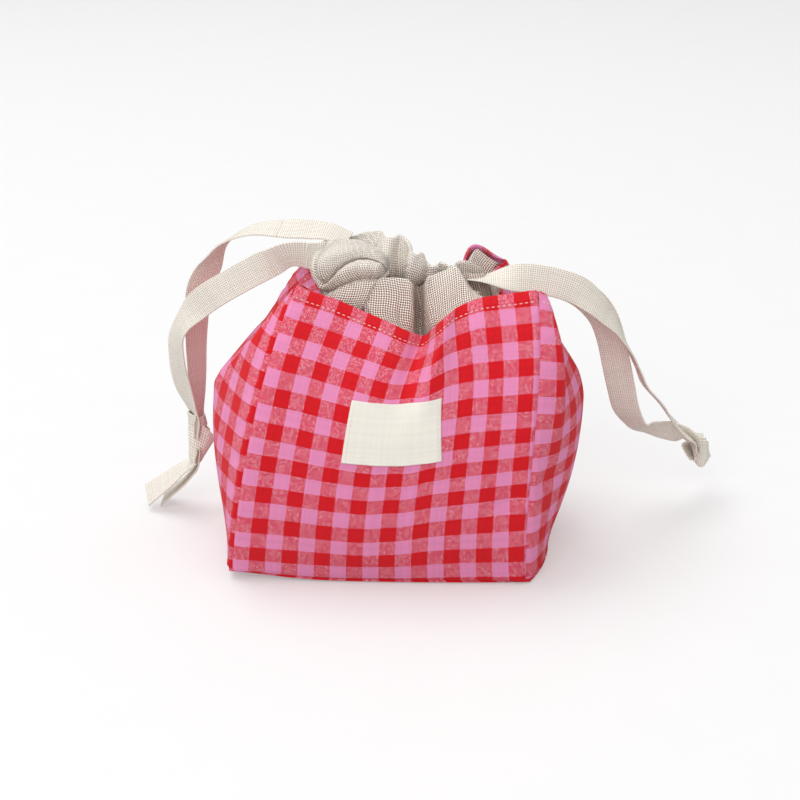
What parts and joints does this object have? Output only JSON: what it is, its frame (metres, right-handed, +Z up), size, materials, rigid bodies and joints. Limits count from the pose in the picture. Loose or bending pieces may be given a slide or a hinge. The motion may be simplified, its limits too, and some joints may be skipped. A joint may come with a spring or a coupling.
{
  "type": "drawstring project bag",
  "caption": "Boxy soft project bag in checked cotton with a canvas lining, a gathered canvas collar, knotted drawtapes and a plain sewn label.",
  "frame": {"origin": "the middle of the flat underside that the bag stands on", "axes": "+Z up, the front with the label faces -Y, +X to the right when the front is looked at"},
  "size_m": [0.3931, 0.1561, 0.2042],
  "materials": {
    "gingham": "woven cotton in a red and pink check, matte",
    "canvas": "natural basket-weave canvas, matte",
    "tape": "natural cotton drawtape with fine ribs, matte",
    "label": "plain cream cotton label, matte"
  },
  "bodies": {
    "bag": {"outer_front": "gingham", "outer_right": "gingham", "outer_back": "gingham", "outer_left": "gingham", "outer_base": "gingham", "lining_front": "canvas", "lining_right": "canvas", "lining_back": "canvas", "lining_left": "canvas", "lining_base": "canvas", "label": "label", "front_skirt": "canvas", "back_skirt": "canvas", "left_front_stub": "tape", "left_back_stub": "tape", "right_front_stub": "tape", "right_back_stub": "tape"},
    "front_half": {"front_casing": "canvas", "left_tape_front_run": "tape", "right_tape_front_run": "tape"},
    "back_half": {"back_casing": "canvas", "left_tape_back_run": "tape", "right_tape_back_run": "tape"},
    "left_loop": {"left_front_leg": "tape", "left_back_leg": "tape", "left_knot": "tape", "left_tail_upper": "tape", "left_tail_lower": "tape"},
    "right_loop": {"right_front_leg": "tape", "right_back_leg": "tape", "right_knot": "tape", "right_tail_upper": "tape", "right_tail_lower": "tape"}
  },
  "joints": [
    {"name": "mouth_front", "type": "hinge", "parent": "bag", "child": "front_half", "pos_m": [0.027, -0.0204, 0.1577], "axis": [1, 0, 0], "range_deg": [0, 25], "deforming": ["left_front_stub", "right_front_stub"]},
    {"name": "mouth_back", "type": "hinge", "parent": "bag", "child": "back_half", "pos_m": [0.015, 0.0228, 0.164], "axis": [-1, 0, 0], "range_deg": [0, 25], "deforming": ["left_back_stub", "right_back_stub"]},
    {"name": "left_loop_lift", "type": "hinge", "parent": "bag", "child": "left_loop", "pos_m": [-0.0612, 0.009, 0.19], "axis": [0, 1, 0], "range_deg": [0, 70]},
    {"name": "right_loop_lift", "type": "hinge", "parent": "bag", "child": "right_loop", "pos_m": [0.0837, 0.0096, 0.175], "axis": [0, -1, 0], "range_deg": [0, 70]}
  ],
  "couplings": [
    {"joint": "mouth_back", "follows": "mouth_front", "ratio": 1}
  ]
}
